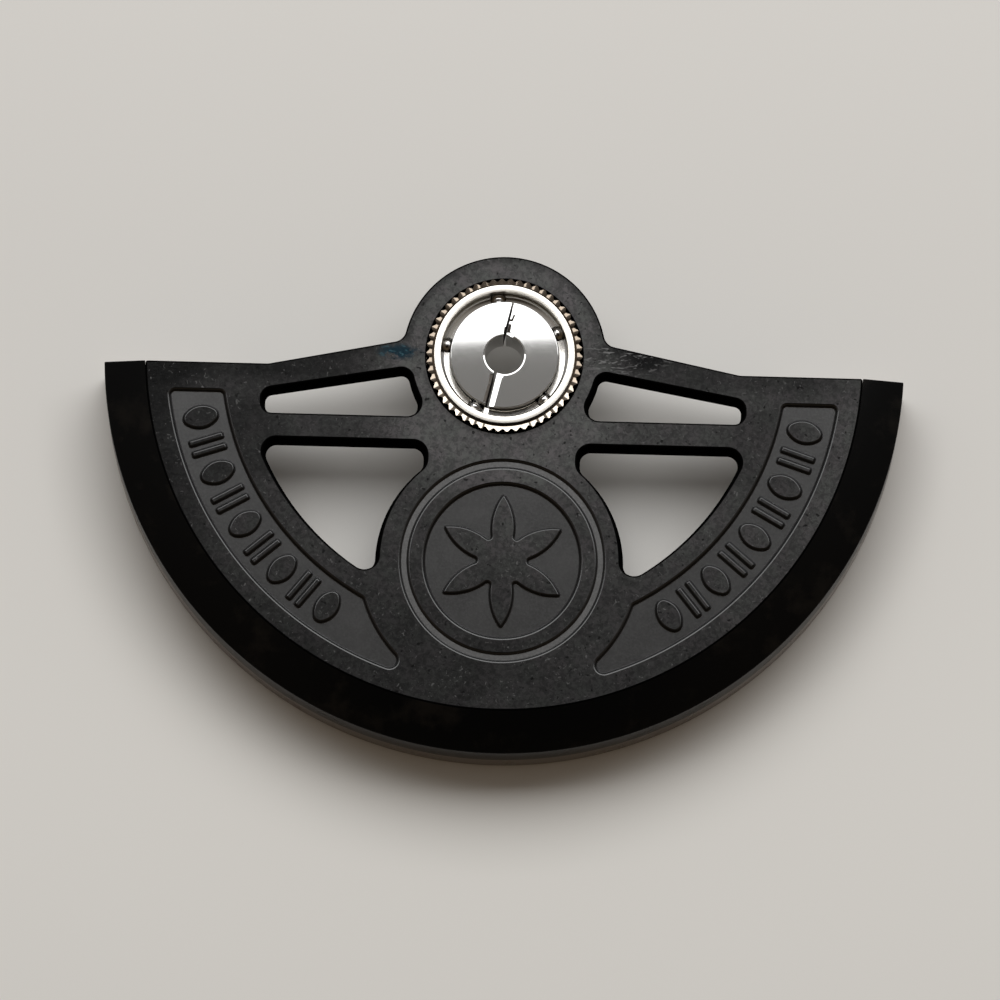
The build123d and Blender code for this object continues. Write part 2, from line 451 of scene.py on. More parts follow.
# %% [markdown]
# ## The plate's sizes
# The plate's own box gives its thickness, the radius of the hub and the radius of the seam to the rim.
# The other sizes are the plate's design, and each one is measured from its neighbour as on a drawing:
# an arm starts so far inside the window's edge, a panel lies so far inside the seam.

# %% Sizes that the outlines share
plate_low, plate_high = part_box("carrier_plate")
plate_top = plate_high.z
plate_bottom = plate_low.z
seam_radius = -plate_low.y
hub_radius = plate_high.y
axis = Vector((0, 0))

chord_drop = 0.45 * mm
plate_hole_radius = 2.64 * mm
arm_slope = radians(11.5)
arm_foot_setback = 0.93 * mm
arm_foot_width = 0.83 * mm
bar_width = 0.83 * mm
window_land = 0.62 * mm
window_slope = radians(10.0)
window_foot_height = 0.855 * mm
window_tip_setback = 0.73 * mm
window_hub_relief = 0.26 * mm
panel_margin = 0.73 * mm
panel_width = 1.87 * mm
panel_chord_margin = 0.95 * mm
web_overlap = 0.025 * mm
web_margin = 1.04 * mm
panel_web_margin = 0.64 * mm

panel_outer = seam_radius - panel_margin
panel_inner = panel_outer - panel_width
window_radius = panel_inner - window_land
window_tip = window_radius - window_tip_setback
arm_foot = window_radius - arm_foot_setback
foot_drop = chord_drop + arm_foot_width
bar_top = foot_drop + window_foot_height
bar_bottom = bar_top + bar_width
web_top = bar_bottom - web_overlap
web_radius = (seam_radius - web_margin - web_top) / 2
web_drop = web_top + web_radius
web = Vector((0, -web_drop))
print(f"web disc {web_radius / mm:.2f} mm in radius, {web_drop / mm:.2f} mm below the axis")


# %% [markdown]
# ## Where the corner pulleys sit
# A corner's pulley nestles between two guides, and three small formulas place it: at a height and a
# distance from the axis, at given distances from the axis and from the web disc's middle, or at a
# distance beside a sloping line and from the axis.

# %% Corner places
def at_height(height, reach):
    """The point on the right at a height and a distance from the axis."""
    return Vector((sqrt(reach**2 - height**2), height))


def between(reach, web_reach, rise=0):
    """The point on the right at given distances from the axis, or a rise above it, and the web's middle."""
    gap = web_drop + rise
    height = -(reach**2 - web_reach**2 + gap**2) / (2 * gap)
    return Vector((0, rise)) + at_height(height, reach)


def beside_line(start, slope, offset, reach):
    """The point beside a line that climbs to the left from a start, and at a distance from the axis."""
    along = Vector((-cos(slope), sin(slope)))
    base = start + offset * Vector((sin(slope), cos(slope)))
    lead = base.dot(along)
    return base + along * (-lead - sqrt(lead**2 - base.length_squared + reach**2))


# %% [markdown]
# ## The plate's outlines
# The outer outline runs from the right end of the straight edge over the arm and the hub to the left
# end, and back along the seam. Two windows on each side leave the arms, the bar and the web disc.
# The lower window's outer arc is struck from a little above the axis, so the land between it and the
# sunk panel widens downwards.

# %% Outline and windows
tip_round = 0.08 * mm
arm_round = 0.60 * mm
arm_fillet = 0.45 * mm
window_corner = 0.48 * mm
window_hub_corner = 0.40 * mm
window_rise = 0.14 * mm
window_tip_round_share = 0.46
neck_share = 0.62


def plate_outline():
    """The straight edge, arms, hub and seam."""
    chord_end = at_height(-chord_drop - tip_round, seam_radius - tip_round)
    foot = Vector((arm_foot, -chord_drop))
    arm_bend = foot + arm_round * Vector((tan(arm_slope / 2), 1))
    hub_side = beside_line(foot, arm_slope, arm_fillet, hub_radius + arm_fillet)
    right = [(chord_end, tip_round), (arm_bend, -arm_round), (hub_side, -arm_fillet)]
    return right + [(axis, hub_radius)] + mirrored(right) + [(axis, seam_radius)]


def upper_window():
    """The slot under the right arm."""
    hub_reach = hub_radius - window_hub_relief
    slope_start = Vector((arm_foot, -foot_drop))
    tip_drop = foot_drop + (window_tip - arm_foot) * tan(window_slope)
    round_radius = window_tip_round_share * (bar_top - tip_drop)
    low_tip = Vector((window_tip - round_radius, -bar_top + round_radius))
    inset = round_radius / cos(window_slope) - round_radius * tan(window_slope)
    high_tip = Vector((window_tip - round_radius, -tip_drop - inset))
    hub_high = beside_line(slope_start, window_slope, -window_hub_corner, hub_reach + window_hub_corner)
    hub_low = at_height(-bar_top + window_corner, hub_reach + window_corner)
    return [
        (low_tip, round_radius),
        (high_tip, round_radius),
        (hub_high, window_hub_corner),
        (axis, -hub_reach),
        (hub_low, window_corner),
    ]


def lower_window():
    """The large right window between the bar, the weight and the web disc with its neck."""
    corner = window_corner
    neck_x = neck_share * web_radius + corner
    under_neck = web + Vector((neck_x, sqrt((web_radius + corner) ** 2 - neck_x**2)))
    middle = Vector((0, window_rise))
    under_bar = at_height(-bar_bottom - corner - window_rise, window_radius - corner)
    return [
        (between(window_radius - corner, web_radius + corner, window_rise), corner),
        (middle, window_radius),
        (middle + under_bar, corner),
        (Vector((neck_x, -bar_bottom - corner)), corner),
        (under_neck, corner),
        (web, -web_radius),
    ]


print("outline of", len(plate_outline()), "pulleys")
print("windows of", len(upper_window()), "and", len(lower_window()), "pulleys")

# %% [markdown]
# ## Sunk fields and their ornament
# Each side has a sunk panel along the rim, and the web disc has a round one inside a groove.
# A row of beads and reels stands in the panels and a six-petalled rosette in the round field. Both are
# old turner's and carver's patterns. Bead and petal are the same oval of four arcs, drawn out or full.

# %% Panels, beads, reels and rosette
panel_corner = 0.20 * mm
panel_tip_corner = 0.30 * mm
mark_count = 9
mark_length = 1.15 * mm
mark_end_margin = 0.95 * mm
mark_web_margin = 2.15 * mm
bead_width = 0.74 * mm
bead_end = 0.24 * mm
reel_width = 0.17 * mm
reel_gap = 0.22 * mm
reel_corner = 0.045 * mm
ring_margin = 0.61 * mm
ring_groove_width = 0.29 * mm
medallion_land = 0.51 * mm
petal_count = 6
petal_reach_share = 0.84
petal_width_share = 0.34
petal_tip = 0.04 * mm
petal_notch = 0.12 * mm
medallion_shift = 0.10 * mm

ring_outer = web_radius - ring_margin
ring_inner = ring_outer - ring_groove_width
medallion_radius = ring_inner - medallion_land
medallion = web + Vector((medallion_shift, 0))


def panel():
    """The right sunk panel, between two arcs, the straight edge and the web disc."""
    top = -chord_drop - panel_chord_margin - panel_corner
    round_web = web_radius + panel_web_margin
    return [
        (between(panel_outer - panel_tip_corner, round_web + panel_tip_corner), panel_tip_corner),
        (axis, panel_outer),
        (at_height(top, panel_outer - panel_corner), panel_corner),
        (at_height(top, panel_inner + panel_corner), panel_corner),
        (axis, -panel_inner),
        (between(panel_inner + panel_corner, round_web + panel_corner), panel_corner),
        (web, -round_web),
    ]


def oval(length, width, end_radius):
    """An oval of four arcs that lies along X: two tight ends and two flat sides."""
    half_length, half_width = length / 2, width / 2
    reach = half_length - end_radius
    side = (half_width**2 + reach**2 - end_radius**2) / (2 * (half_width - end_radius))
    return [
        (Vector((reach, 0)), end_radius),
        (Vector((0, half_width - side)), side),
        (Vector((-reach, 0)), end_radius),
        (Vector((0, side - half_width)), side),
    ]


def reel():
    """A narrow bar with slightly rounded corners that lies along X."""
    x = mark_length / 2 - reel_corner
    y = reel_width / 2 - reel_corner
    return [(Vector(corner), reel_corner) for corner in ((x, -y), (x, y), (-x, y), (-x, -y))]


def panel_marks():
    """Beads and pairs of reels in turn along the right panel."""
    row = (panel_inner + panel_outer) / 2
    round_web = web_radius + panel_web_margin
    web_cosine = (row**2 + web_drop**2 - round_web**2) / (2 * row * web_drop)
    first = asin((chord_drop + panel_chord_margin) / row) + mark_end_margin / row
    last = pi / 2 - acos(web_cosine) - mark_web_margin / row
    marks = []
    for index in range(mark_count):
        angle = -(first + (last - first) * index / (mark_count - 1))
        place = row * Vector((cos(angle), sin(angle)))
        if index % 2:
            beside = (reel_width + reel_gap) / 2 * Vector((-sin(angle), cos(angle)))
            marks += [placed(reel(), angle, place + beside), placed(reel(), angle, place - beside)]
        else:
            marks.append(placed(oval(mark_length, bead_width, bead_end), angle, place))
    return marks


def rosette():
    """Six pointed petals, grown together at the middle, as one outline."""
    reach = petal_reach_share * medallion_radius
    _, (upper, side), _, (lower, _) = oval(reach, petal_width_share * reach, petal_tip)
    middle = Vector((reach / 2, 0))
    lower, upper = lower + middle, upper + middle
    cleft = Vector((cos(pi / petal_count), sin(pi / petal_count)))
    lead = cleft.dot(upper)
    depth = lead + sqrt(lead**2 - upper.length_squared + (side + petal_notch) ** 2)
    tip = Vector((reach - petal_tip, 0))
    petal = [(lower, side), (tip, petal_tip), (upper, side), (cleft * depth, -petal_notch)]
    flower = []
    for index in range(petal_count):
        flower += placed(petal, pi / 2 + tau * index / petal_count, medallion)
    return flower


print("marks:", len(panel_marks()), "on each side; rosette of", len(rosette()), "pulleys")

# %% [markdown]
# ## The plate in one piece
# The walls of the outer edge, the bore and the windows come first. Each sunk field is then walled and
# floored, with the ornament that stands in it, and the blasted face and the underside are filled last,
# between all the loops that are left. The windows narrow downwards by the draft that punching leaves.
# Material 0 is the blasted face, 1 the sunk floors, 2 the sides and the underside, 3 the slopes round
# the sunk fields and 4 the floor of the ring groove, which is painted paler as a painted sheen.

# %% Plate
edge_radius = 0.055 * mm
hole_edge = 0.04 * mm
blasted_tilt = radians(14)
shoulder_radius = 0.085 * mm
mark_shoulder_radius = 0.05 * mm
shoulder_angle = radians(68)
shoulder_steps = 5
field_foot = 0.015 * mm
recess_depth = 0.14 * mm
ring_groove_depth = 0.08 * mm
window_draft = 0.12 * mm
lower_edge = 0.03 * mm
face_finish, floor_finish, side_finish, slope_finish, groove_finish = 0, 1, 2, 3, 4


def field_walls(shape, pulleys, side, depth, radius=shoulder_radius):
    """The slope round a sunk field, or with side -1 round ornament that stands in it.

    It starts with a round shoulder and runs down steeply, and the outline lies at half its width.
    """
    angles = [shoulder_angle * step / shoulder_steps for step in range(shoulder_steps + 1)]
    steps = [(radius * sin(angle), radius * (1 - cos(angle))) for angle in angles]
    reach, drop = steps[-1]
    run = (depth - drop) / tan(shoulder_angle)
    steps += [(reach + run - field_foot, depth - field_foot), (reach + run + field_foot, depth)]
    half = (reach + run) / 2
    loops = [(side * (half - out), plate_top - down) for out, down in steps]
    return walls(shape, pulleys, loops, slope_finish)


def blast_edges(shape):
    """Carries the blasted finish over the edges as far as they are nearly level."""
    bmesh.ops.recalc_face_normals(shape, faces=shape.faces)
    for face in shape.faces:
        level = face.normal.z > cos(blasted_tilt)
        if level and face.calc_center_median().z > plate_top - edge_radius:
            if face.material_index == side_finish:
                face.material_index = face_finish


def sunk_panels(shape):
    """Both side panels with their ornament. Gives the loops that the face is filled up to."""
    marks = panel_marks()
    edges = []
    for outline, islands in ((panel(), marks), (mirrored(panel()), [mirrored(mark) for mark in marks])):
        top, floor = field_walls(shape, outline, 1, recess_depth)
        edges.append(top)
        feet = []
        for island in islands:
            crown, foot = field_walls(shape, island, -1, recess_depth, mark_shoulder_radius)
            flat(shape, [crown], face_finish)
            feet.append(foot)
        flat(shape, [floor] + feet, floor_finish)
    return edges


def sunk_medallion(shape):
    """The ring groove and the round field with its rosette. Gives the loop round the groove."""
    outside, floor = field_walls(shape, [(medallion, ring_outer)], 1, ring_groove_depth)
    land, foot = field_walls(shape, [(medallion, ring_inner)], -1, ring_groove_depth)
    flat(shape, [floor, foot], groove_finish)
    top, floor = field_walls(shape, [(medallion, medallion_radius)], 1, recess_depth)
    flat(shape, [land, top], face_finish)
    crown, foot = field_walls(shape, rosette(), -1, recess_depth, mark_shoulder_radius)
    flat(shape, [crown], face_finish)
    flat(shape, [floor, foot], floor_finish)
    return outside


def plate_shape():
    """The plate as one closed surface."""
    shape = bmesh.new()
    outer = rounded_over(-1, edge_radius, plate_top) + rounded_under(-1, lower_edge, plate_bottom)
    top, bottom = walls(shape, plate_outline(), outer, side_finish)
    face, underside = [top], [bottom]
    hole = rounded_over(1, hole_edge, plate_top) + [(0, plate_bottom)]
    openings = [([(axis, plate_hole_radius)], hole)]
    through = rounded_over(1, edge_radius, plate_top) + [(-window_draft, plate_bottom)]
    for window in (upper_window(), lower_window()):
        openings += [(window, through), (mirrored(window), through)]
    for outline, steps in openings:
        top, bottom = walls(shape, outline, steps, side_finish)
        face.append(top)
        underside.append(bottom)
    face += sunk_panels(shape)
    face.append(sunk_medallion(shape))
    flat(shape, face, face_finish)
    flat(shape, underside, side_finish)
    blast_edges(shape)
    return shape


plate = finished(plate_shape(), "plate", "rotor", ["carrier_plate"])

# %% [markdown]
# ## The rim weight
# The heavy rim is turned: its section is spun through half a circle and the ends are cut off flat along
# the straight edge. A small bevel then breaks the sharp corners, except at the seam to the plate, where
# both parts were turned together and meet in a hairline.

# %% Rim weight
rim_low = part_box("rim_weight")[0]
outer_radius = -rim_low.y
rim_foot = rim_low.z
rim_inner_radius = 9.30 * mm
rim_foot_chamfer = 0.12 * mm
seam_gap = 0.01 * mm
bevel_drop = 0.48 * mm
rim_edge = 0.035 * mm
sharp_angle = radians(14)
rim_steps = 220


def turned(corners, angle, steps):
    """A closed section of radii and heights, spun about the axis. A full turn closes on itself."""
    shape = bmesh.new()
    verts = [shape.verts.new((radius, 0, height)) for radius, height in corners]
    section = [shape.edges.new(pair) for pair in zip(verts, verts[1:] + verts[:1])]
    bmesh.ops.spin(
        shape, geom=verts + section, cent=(0, 0, 0), axis=(0, 0, 1), angle=angle, steps=steps,
        use_merge=angle == tau,
    )
    bmesh.ops.recalc_face_normals(shape, faces=shape.faces)
    return shape


def break_edges(shape, width, angle, keep_sharp=lambda edge: False, segments=3):
    """Rounds every edge that is sharper than an angle."""
    chosen = [
        edge for edge in shape.edges
        if edge.is_manifold and edge.calc_face_angle() > angle and not keep_sharp(edge)
    ]
    bmesh.ops.bevel(
        shape, geom=chosen, offset=width, offset_type="OFFSET", segments=segments, profile=0.5,
        affect="EDGES", clamp_overlap=True, material=-1,
    )


def cut_flat(shape, point, normal):
    """Cuts off what lies on the normal's side of a plane and closes the cut."""
    geometry = shape.verts[:] + shape.edges[:] + shape.faces[:]
    cut = bmesh.ops.bisect_plane(
        shape, geom=geometry, dist=weld_distance, plane_co=point, plane_no=normal, clear_outer=True,
    )
    rim = [item for item in cut["geom_cut"] if isinstance(item, bmesh.types.BMEdge)]
    bmesh.ops.holes_fill(shape, edges=rim, sides=0)


def at_seam(edge):
    """Whether an edge lies along the seam to the plate, at the face."""
    return all(
        abs(vert.co.z - plate_top) < touching and vert.co.xy.length < seam_radius + 2 * seam_gap
        for vert in edge.verts
    )


def rim_shape():
    """The rim: bevel, tall outer wall, foot, inner wall and the ledge under the plate."""
    seat = seam_radius + seam_gap
    corners = [
        (rim_inner_radius, rim_foot),
        (outer_radius - rim_foot_chamfer, rim_foot),
        (outer_radius, rim_foot + rim_foot_chamfer),
        (outer_radius, plate_top - bevel_drop),
        (seat, plate_top),
        (seat, plate_bottom),
        (rim_inner_radius, plate_bottom),
    ]
    shape = turned(corners, -pi, rim_steps)
    cut_flat(shape, (0, -chord_drop, 0), (0, 1, 0))
    bmesh.ops.recalc_face_normals(shape, faces=shape.faces)
    break_edges(shape, rim_edge, sharp_angle, at_seam)
    return shape


rim = finished(rim_shape(), "rim", "rotor", ["rim_weight"], crease=15)

# %% [markdown]
# ## The toothed outer ring
# The bearing's outer ring stands through the plate. Inside is the domed lip that shows as the bright
# ring, then a narrow groove, then fine teeth. The section is spun with eight steps to a tooth, and the
# vertices at the tips' radius are then drawn in along a wave, down to the root radius.
# The same wave gives each tooth a slightly rounded top.

# %% Outer ring
ring_low, ring_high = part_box("bearing_outer_ring")
lip_top = ring_high.z
ring_bottom = ring_low.z
collar_radius = ring_high.x
tooth_rise = 0.20 * mm
tooth_count = 54
steps_per_tooth = 8
tooth_tip_radius = 2.63 * mm
tooth_root_radius = 2.53 * mm
tooth_droop = 0.014 * mm
lip_inner_radius = 2.155 * mm
lip_width = 0.21 * mm
lip_crown = 0.006 * mm
lip_groove_width = 0.075 * mm
lip_groove_depth = 0.10 * mm
lip_outer = lip_inner_radius + lip_width
groove_outer = lip_outer + lip_groove_width
flange_dish = 0.0046 * mm
collar_thickness = 0.12 * mm
pitch_radius = 1.98 * mm
ball_radius = 0.275 * mm
race_clearance = 0.01 * mm
race_steps = 10
crown_steps = 10
ball_low, ball_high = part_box("ball_1")
ball_height = (ball_low.z + ball_high.z) / 2


def arc_points(centre, radius, start, end, count):
    """Points of an arc in a section, from one angle to another."""
    angles = [start + (end - start) * step / count for step in range(count + 1)]
    return [(centre[0] + radius * cos(angle), centre[1] + radius * sin(angle)) for angle in angles]


def race_points(wall_radius, upwards):
    """The round groove that the balls run in, cut into a wall inside or outside the pitch circle."""
    groove = ball_radius + race_clearance
    half = acos(abs(wall_radius - pitch_radius) / groove)
    middle = 0 if wall_radius > pitch_radius else pi
    way = 1 if upwards == (wall_radius > pitch_radius) else -1
    centre = (pitch_radius, ball_height)
    return arc_points(centre, groove, middle - way * half, middle + way * half, race_steps)


def crown_points():
    """The domed top of the lip, from its outer to its inner edge."""
    half = lip_width / 2
    radius = (half**2 + lip_crown**2) / (2 * lip_crown)
    centre = (lip_inner_radius + half, lip_top - radius)
    reach = asin(half / radius)
    return arc_points(centre, radius, pi / 2 - reach, pi / 2 + reach, crown_steps)


def outer_ring_shape():
    """The whole outer ring with its teeth."""
    tooth_top = plate_top + tooth_rise
    corners = [(lip_inner_radius, ring_bottom)] + race_points(lip_inner_radius, True)
    corners += list(reversed(crown_points()))
    corners += [
        (lip_outer, tooth_top - lip_groove_depth),
        (groove_outer, tooth_top - lip_groove_depth),
        (groove_outer, tooth_top - flange_dish),
        (tooth_tip_radius, tooth_top),
        (tooth_tip_radius, plate_bottom),
        (collar_radius, plate_bottom),
        (collar_radius, plate_bottom - collar_thickness),
        (tooth_tip_radius, plate_bottom - collar_thickness),
        (tooth_tip_radius, ring_bottom),
    ]
    steps = tooth_count * steps_per_tooth
    shape = turned(corners, tau, steps)
    for vert in shape.verts:
        place = round(atan2(vert.co.y, vert.co.x) / tau * steps)
        sunk = (1 - cos(tau * place / steps_per_tooth)) / 2
        on_flange = abs(vert.co.z - tooth_top) < 2 * flange_dish
        if abs(vert.co.xy.length - tooth_tip_radius) < touching:
            vert.co.xy *= 1 - sunk * (1 - tooth_root_radius / tooth_tip_radius)
        if on_flange and vert.co.xy.length > groove_outer - touching:
            vert.co.z -= sunk**2 * tooth_droop
    return shape


outer_ring = finished(
    outer_ring_shape(), "outer_ring", "rotor", ["bearing_outer_ring"], crease=20,
)

# %% [markdown]
# ## The split inner ring
# The inner ring is polished flat, and then broken in two so that the balls can be put in. The break runs
# across it a little off upright, just beside the bore's middle. It opens downwards, and its lips are
# chipped where it gave way. The turned ring is cut by one plane for each half. Each chip is a small
# slanting box that a Boolean takes away, so that its bottom stays behind as a facet.

# %% Inner ring
inner_ring_radius = 1.83 * mm
bore_radius = 0.66 * mm
foot_radius = 1.45 * mm
foot_height = 0.08 * mm
inner_ring_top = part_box("inner_ring_right")[1].z
inner_edge = 0.035 * mm
bore_edge = 0.015 * mm
bore_flare = 0.040 * mm
bore_flare_drop = 0.004 * mm
split_angle = radians(12.6)
split_shift = -0.15 * mm
split_gap_top = 0.07 * mm
split_gap_bottom = 0.14 * mm
inner_steps = 180
corner_steps = 8
chip_height = 0.5 * mm


def inner_ring_blank():
    """The whole ring before it is broken."""
    top = inner_ring_top
    corners = [(bore_radius, 0), (foot_radius, 0), (foot_radius, foot_height)]
    corners += [(inner_ring_radius, foot_height)] + race_points(inner_ring_radius, True)
    outer_edge = (inner_ring_radius - inner_edge, top - inner_edge)
    corners += arc_points(outer_edge, inner_edge, 0, pi / 2, corner_steps)
    mouth = (bore_radius + bore_edge, top - bore_flare_drop - bore_edge)
    corners += [(bore_radius + bore_edge + bore_flare, top)]
    corners += arc_points(mouth, bore_edge, pi / 2, pi, corner_steps)
    return turned(corners, tau, inner_steps)


def split_plane(side):
    """A point and a normal for the break's wall on the left half (-1) or the right half (1)."""
    reach = inner_ring_radius
    spin = Matrix.Rotation(-split_angle, 3, "Z")
    top = spin @ Vector((split_shift + side * split_gap_top / 2, reach, 0))
    bottom = spin @ Vector((split_shift + side * split_gap_bottom / 2, -reach, 0))
    along = (bottom - top).normalized()
    return bottom, along.cross(Vector((0, 0, side)))


# Each chip: across and along the break, depth, width, length, turn, lean to the left, lean upwards.
chips = {
    -1: [
        (-0.26, -1.42, 0.025, 0.10, 0.62, -2, -22, 0),
        (-0.25, -0.92, 0.025, 0.11, 0.36, 6, -25, 0),
        (-0.22, 0.83, 0.050, 0.06, 0.22, 5, -30, -8),
    ],
    1: [
        (0.00, -1.25, 0.023, 0.22, 1.40, -1, 13, 0),
        (0.02, -0.73, 0.020, 0.24, 0.10, 0, 3, 8),
        (-0.05, 0.93, 0.050, 0.12, 0.30, 4, 30, -14),
        (-0.01, 1.34, 0.035, 0.06, 0.22, -8, 10, -24),
        (-0.07, 1.22, 0.035, 0.12, 0.07, 10, 10, -24),
        (0.02, 0.73, 0.030, 0.26, 0.12, -18, 3, 7),
    ],
}
broken_lean = 0.1
broken_tilt = 0.95


def chip_cutters(side):
    """Slanting boxes whose bottoms stay behind as facets."""
    cutters = bmesh.new()
    frame_turn = Matrix.Rotation(-split_angle, 4, "Z")
    for across, along, depth, width, length, turn, lean, rise in chips[side]:
        place = Matrix.Translation(Vector((across * mm, along * mm, inner_ring_top - depth * mm)))
        slant = Matrix.Rotation(-radians(lean), 4, "Y") @ Matrix.Rotation(-radians(rise), 4, "X")
        size = Matrix.Diagonal((width * mm, length * mm, chip_height, 1))
        lift = Matrix.Translation((0, 0, 0.5))
        matrix = frame_turn @ place @ Matrix.Rotation(radians(turn), 4, "Z") @ slant @ size @ lift
        bmesh.ops.create_cube(cutters, size=1, matrix=matrix)
    return cutters


def without(shape, cutters):
    """A shape less its cutters, by a Boolean modifier that is then applied."""
    pair = []
    for part in (shape, cutters):
        mesh = bpy.data.meshes.new("part")
        part.to_mesh(mesh)
        part.free()
        pair.append(bpy.data.objects.new("part", mesh))
        bpy.context.scene.collection.objects.link(pair[-1])
    cut = pair[0].modifiers.new("cut", "BOOLEAN")
    cut.operation, cut.solver, cut.object = "DIFFERENCE", "EXACT", pair[1]
    cut.use_self = True
    result = bmesh.new()
    result.from_object(pair[0], bpy.context.evaluated_depsgraph_get())
    for thing in pair:
        bpy.data.objects.remove(thing)
    bmesh.ops.recalc_face_normals(result, faces=result.faces)
    return result


def half_ring(side):
    """One half of the ring, broken off and chipped along the break."""
    shape = inner_ring_blank()
    point, normal = split_plane(side)
    cut_flat(shape, point, normal)
    bmesh.ops.recalc_face_normals(shape, faces=shape.faces)
    shape = without(shape, chip_cutters(side))
    for face in shape.faces:
        middle = face.calc_center_median().xy.normalized()
        aside = abs(middle.cross(face.normal.xy))
        face.material_index = int(aside > broken_lean and abs(face.normal.z) < broken_tilt)
    return shape


def finished_half(side, name):
    """One half as a finished piece."""
    label = f"inner_ring_{name}"
    return finished(half_ring(side), f"{label}_half", "inner_ring", [label], crease=12)


left_half = finished_half(-1, "left")
right_half = finished_half(1, "right")

# %% [markdown]
# ## Cage and balls
# The cage is a thin ring with five round pockets that reach up past the middle of each ball. The pockets
# are cut out of the spun ring by the same round shape that makes the balls, a little larger.

# %% Cage and balls
cage_low, cage_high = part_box("ball_cage")
cage_outer = cage_high.x
cage_width = 0.18 * mm
cage_inner = cage_outer - cage_width
cage_slopes = (radians(3), radians(13))
ball_count = 5
ball_start_angle = radians(25.5)
pocket_radius = 0.295 * mm
pocket_detail = 4
ball_detail = 5


def ball_centres():
    """The middle of each ball on the pitch circle."""
    angles = [ball_start_angle + tau * index / ball_count for index in range(ball_count)]
    return [Vector((pitch_radius * cos(angle), pitch_radius * sin(angle), ball_height)) for angle in angles]


def round_shapes(centres, radius, detail):
    """A round ball at each place."""
    shape = bmesh.new()
    for centre in centres:
        made = bmesh.ops.create_icosphere(shape, subdivisions=detail, radius=radius)
        bmesh.ops.translate(shape, verts=made["verts"], vec=centre)
    return shape


def cage_ring():
    """The cage before its pockets are cut."""
    flat_slope, steep_slope = cage_slopes
    hollow = cage_width / (sin(steep_slope) - sin(flat_slope))
    centre = (cage_inner - hollow * sin(flat_slope), cage_high.z + hollow * cos(steep_slope))
    corners = [(cage_inner, cage_low.z), (cage_outer, cage_low.z)]
    corners += arc_points(centre, hollow, steep_slope - pi / 2, flat_slope - pi / 2, corner_steps)
    return turned(corners, tau, inner_steps)


cage_shape = without(cage_ring(), round_shapes(ball_centres(), pocket_radius, pocket_detail))
cage = finished(cage_shape, "cage", "cage", ["ball_cage"], crease=40)
balls = []
for index, centre in enumerate(ball_centres()):
    name = f"ball_{index + 1}"
    shape = round_shapes([centre], ball_radius, ball_detail)
    balls.append(finished(shape, f"steel_{name}", name, [name], crease=60))

# %% [markdown]
# ## Finishes
# A finish is a material whose pattern is worked out from the place on the piece, in millimetres.
# The shader's fixed values are set once, and the patterns feed colour, roughness, metal and relief.

# %% Finish
class Finish(Wiring):
    """A material that is being wired, with its shader's fixed values."""

    def __init__(self, name, **constants):
        self.material = bpy.data.materials.new(name)
        self.material.use_nodes = True
        super().__init__(self.material.node_tree)
        self.shader = self.tree.nodes["Principled BSDF"]
        self.wear(**constants)

    def places(self):
        """Object coordinates in millimetres."""
        spots = self.node("ShaderNodeTexCoord", {}, {}, "Object")
        return self.node("ShaderNodeMapping", {}, {"Vector": spots, "Scale": (1 / mm, 1 / mm, 1 / mm)})

    def noise(self, places, scale, detail=2.0, roughness=0.5, distortion=0.0):
        """Soft noise between 0 and 1 with so many features to a millimetre."""
        inputs = {"Vector": places, "Scale": scale, "Detail": detail}
        inputs |= {"Roughness": roughness, "Distortion": distortion}
        return self.node("ShaderNodeTexNoise", {}, inputs, "Fac")

    def near(self, places, centre, full, reach):
        """1 within a distance of a place and 0 beyond a reach, in millimetres."""
        inputs = {0: places, 1: centre}
        away = self.node("ShaderNodeVectorMath", {"operation": "DISTANCE"}, inputs, "Value")
        return 1 - self.step(away, full, reach)

    def squeezed(self, places, scale):
        """The same places, drawn together or apart along each axis."""
        return self.node("ShaderNodeMapping", {}, {"Vector": places, "Scale": scale})

    def bump(self, height, strength, depth):
        """Fine relief that only the light sees."""
        inputs = {"Height": height, "Strength": strength, "Distance": depth}
        return self.node("ShaderNodeBump", {}, inputs, "Normal")

    def wear(self, **values):
        """Feeds values or signals to the shader's sockets."""
        for socket, value in values.items():
            self.feed(self.shader.inputs[socket.replace("_", " ")], value)
        return self.material


def grey(value, warm=0.0):
    """A grey, with a little more red and less blue when warm."""
    return (value * (1 + warm), value, value * (1 - warm), 1)


def dress(piece, *materials):
    """Gives a piece its materials, in order."""
    for material in materials:
        piece.data.materials.append(material)
    print(f"{piece.name}: {', '.join(material.name for material in materials)}")


# %% [markdown]
# ## Black coatings
# The plate's face is blasted before it is blackened: it is matt, cloudy, and full of pale and dark specks
# less than a tenth of a millimetre across. The sunk floors are smoother and look greyer, their slopes
# have a sheen, and the punched sides are as black as the coating gets. The face also carries painted
# light: it is paler to the right and darker towards the bottom. The ring groove's floor is painted paler
# as a painted sheen.

# %% Plate coating
pale_rose = (0.099, 0.093, 0.096, 1)
pale_green = (0.090, 0.094, 0.090, 1)
oil_blue = (0.0005, 0.017, 0.029, 1)
oil_glint = (0.04, 0.11, 0.14, 1)


